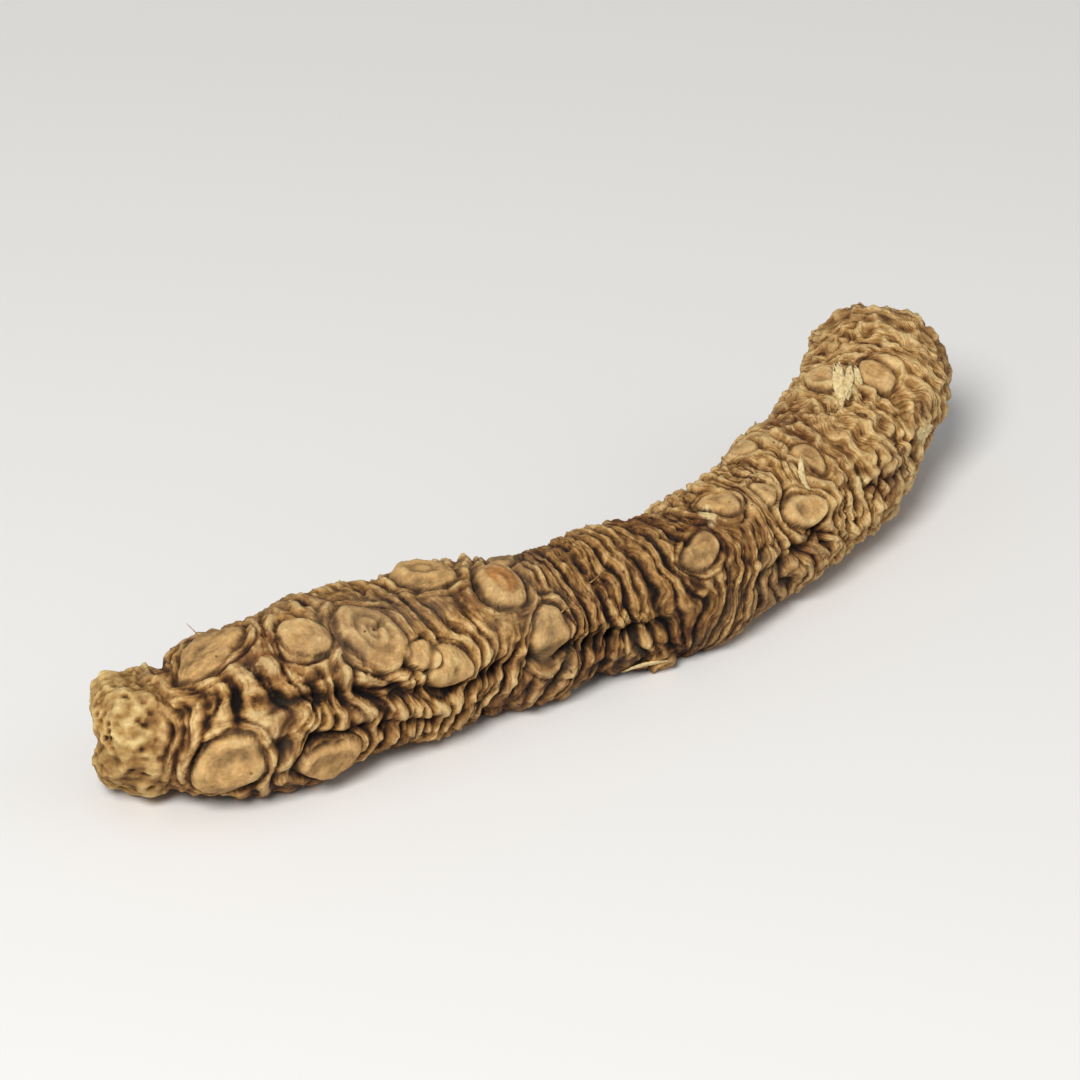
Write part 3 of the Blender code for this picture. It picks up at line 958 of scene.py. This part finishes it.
def makeFlake(along, degrees, length, width, turn, curl, lift):
    bpy.ops.object.select_all(action="DESELECT")
    sides, rings = flakes["sides"], flakes["rings"]
    bpy.ops.mesh.primitive_uv_sphere_add(segments=sides, ring_count=rings, radius=0.5 * mm)
    flake = bpy.context.object
    flake.data.transform(Matrix.Rotation(math.pi / 2, 4, "Y"))
    bpy.ops.object.mode_set(mode="EDIT")
    bpy.ops.mesh.select_all(action="SELECT")
    bpy.ops.transform.vertex_random(offset=flakes["ragged"] * mm, seed=int(10 * along))
    bpy.ops.transform.resize(value=(length, width, flakes["thickness"]))
    bpy.ops.object.mode_set(mode="OBJECT")
    flake.data.shade_smooth()
    flake.data.transform(Matrix.Rotation(math.pi / 2, 4, "X"))
    for method, axis, setting, amount in (
        ("TAPER", "X", "factor", flakes["narrowing"]),
        ("TWIST", "X", "angle", math.radians(flakes["twist"])),
        ("BEND", "Z", "angle", math.radians(curl)),
    ):
        deform = flake.modifiers.new(method.lower(), "SIMPLE_DEFORM")
        deform.deform_method = method
        deform.deform_axis = axis
        setattr(deform, setting, amount)
        bpy.ops.object.modifier_apply(modifier=deform.name)
    flake.data.transform(Matrix.Rotation(math.pi / 2, 4, "X"))
    lying = Matrix.Translation((0, 0, lift * mm)) @ Matrix.Rotation(math.radians(turn), 4, "Z")
    flake.data.transform(barkAt(along, degrees, flakes["rise"]) @ lying)
    return flake


# Hair-fine remains of rootlets.
fibres = {
    "count": 14,
    "seed": 21,
    "steps": 6,
    "zone": (9, 86),  # where along the rhizome they may stand
    "degrees": (0, 180),
    "length": (0.7, 1.7),
    "thickness": (0.04, 0.08),
    "lean": (0.3, 1.2),  # radians away from upright
    "curve": (-0.8, 0.8),
    "sunk": 0.12,  # share of the length that is in the bark
    "narrowing": 0.75,
}


def makeFibre(draw):
    along, degrees = draw.uniform(*fibres["zone"]), draw.uniform(*fibres["degrees"])
    length = draw.uniform(*fibres["length"]) * mm
    thick = draw.uniform(*fibres["thickness"]) * mm
    bpy.ops.object.select_all(action="DESELECT")
    bpy.ops.curve.primitive_nurbs_path_add()
    fibre = bpy.context.object
    line = fibre.data.splines[0]
    line.points.add(fibres["steps"] - len(line.points))
    lean, curve = draw.uniform(*fibres["lean"]), draw.uniform(*fibres["curve"])
    for number, point in enumerate(line.points):
        share = number / (fibres["steps"] - 1)
        out = length * (share * math.cos(lean) - fibres["sunk"])
        point.co = (length * share * math.sin(lean), length * curve * share**2, out, 1)
        point.radius = 1 - fibres["narrowing"] * share
    line.use_endpoint_u = True
    fibre.data.bevel_depth = thick
    fibre.data.bevel_resolution = 1
    fibre.data.use_fill_caps = True
    bpy.ops.object.convert(target="MESH")
    fibre = bpy.context.object
    fibre.data.transform(barkAt(along, degrees) @ Matrix.Rotation(draw.uniform(0, 2 * math.pi), 4, "Z"))
    return fibre


def joined(pieces, name):
    bpy.ops.object.select_all(action="DESELECT")
    for piece in pieces:
        piece.select_set(True)
    bpy.context.view_layer.objects.active = pieces[0]
    bpy.ops.object.join()
    whole = bpy.context.object
    whole.name = name
    whole.matrix_world = Matrix.Identity(4)
    whole.data.materials.clear()
    return whole


# Inner skin of the rhizome, dried to a thin cream parchment. Pale, dull, faintly streaked.
skinLook = {"main": "#E4CF9A", "spots": "#B99760", "spotMm": 0.35, "roughness": 0.6}
# Dried rootlet: a thin fibre of wood. Brown and dull, lighter in places.
fibreLook = {"main": "#6B4423", "spots": "#B08A55", "spotMm": 0.5, "roughness": 0.7}


def spottedMaterial(name, look):
    material, tree, shader = newMaterial(name)
    place = addNode(tree, "ShaderNodeTexCoord", output="Object")
    inputs = {"Vector": place, "Scale": 1 / (look["spotMm"] * mm), "Detail": 4, "Roughness": 0.6}
    spot = addNode(tree, "ShaderNodeTexNoise", inputs=inputs)
    amount = addNode(tree, "ShaderNodeMapRange", inputs={"Value": spot, "From Min": 0.4, "From Max": 0.68})
    inputs = {"Factor": amount, 6: linear(look["main"]), 7: linear(look["spots"])}
    colour = addNode(tree, "ShaderNodeMix", {"data_type": "RGBA"}, inputs, 2)
    tree.links.new(colour, shader.inputs["Base Color"])
    bump = addNode(tree, "ShaderNodeBump", inputs={"Strength": 0.4, "Distance": 0.05 * mm, "Height": spot})
    tree.links.new(bump, shader.inputs["Normal"])
    shader.inputs["Roughness"].default_value = look["roughness"]
    shader.inputs["Specular IOR Level"].default_value = 0.35
    return material


studio = {
    "floorSize": 3.0,
    "floorColour": "#ECEAE6",
    "floorRoughness": 0.9,
    "lights": {  # place, size and watts
        "keyLight": ((-0.42, -0.28, 0.52), 0.3, 5.0),
        "fillLight": ((0.5, -0.55, 0.4), 0.8, 0.7),
    },
    "skyColour": "#F2F4F7",
    "skyStrength": 0.34,
}


def makeFloor():
    bpy.ops.object.select_all(action="DESELECT")
    bpy.ops.mesh.primitive_plane_add(size=studio["floorSize"])
    floor = bpy.context.object
    floor.name = "paleFloor"
    material, _, shader = newMaterial("paleMattPaper")  # plain matte paper, which mirrors nothing
    shader.inputs["Base Color"].default_value = linear(studio["floorColour"])
    shader.inputs["Roughness"].default_value = studio["floorRoughness"]
    floor.data.materials.append(material)


def makeLights():
    for name, (place, size, watts) in studio["lights"].items():
        bpy.ops.object.light_add(type="AREA", location=place)
        lamp = bpy.context.object
        lamp.name = name
        lamp.data.shape = "DISK"
        lamp.data.size = size
        lamp.data.energy = watts
        lamp.rotation_euler = (-Vector(place)).to_track_quat("-Z", "Y").to_euler()
    world = bpy.data.worlds.new("studioSky")
    bpy.context.scene.world = world
    world.use_nodes = True
    sky = world.node_tree.nodes["Background"]
    sky.inputs["Color"].default_value = linear(studio["skyColour"])
    sky.inputs["Strength"].default_value = studio["skyStrength"]


# The photograph's viewing angle, and the share of the picture's width that the root fills.
view = {"azimuth": -38.8, "elevation": 30, "distance": 0.5, "fill": 0.8}


def makeCamera(root):
    turn, rise = math.radians(view["azimuth"]), math.radians(view["elevation"])
    back = Vector((math.sin(turn) * math.cos(rise), -math.cos(turn) * math.cos(rise), math.sin(rise)))
    right = Vector((math.cos(turn), math.sin(turn), 0))
    places = np.zeros(len(root.data.vertices) * 3)
    root.data.vertices.foreach_get("co", places)
    middle, widths = Vector(), []
    for axis in (right, back.cross(right), back):
        spans = places.reshape(-1, 3) @ np.array(axis)
        middle += axis * float((spans.min() + spans.max()) / 2)
        widths.append(float(spans.max() - spans.min()))
    width = widths[0] / view["fill"]
    place = middle + back * view["distance"]
    bpy.ops.object.camera_add(location=place, rotation=back.to_track_quat("Z", "Y").to_euler())
    camera = bpy.context.object
    camera.data.lens = camera.data.sensor_width * view["distance"] / width
    bpy.context.scene.camera = camera


root = makeBark()
root.data.materials.clear()
root.data.materials.append(barkMaterial())
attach(root, "root")
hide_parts("orris_root")
print("bark and scars:", len(root.data.polygons), "faces")

skin = joined([makeFlake(*place) for place in flakes["places"]], "paleSkinFlakes")
skin.data.materials.append(spottedMaterial("driedInnerSkin", skinLook))
fibreDraw = np.random.default_rng(fibres["seed"])
hairs = joined([makeFibre(fibreDraw) for _ in range(fibres["count"])], "rootletFibres")
hairs.data.materials.append(spottedMaterial("driedRootlet", fibreLook))
for piece in (skin, hairs):
    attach(piece, "root")
print("flakes and fibres:", len(skin.data.polygons) + len(hairs.data.polygons), "faces")

makeFloor()
makeLights()
makeCamera(root)
bpy.context.scene.view_settings.view_transform = "Standard"
print("floor, lights and camera are in place")
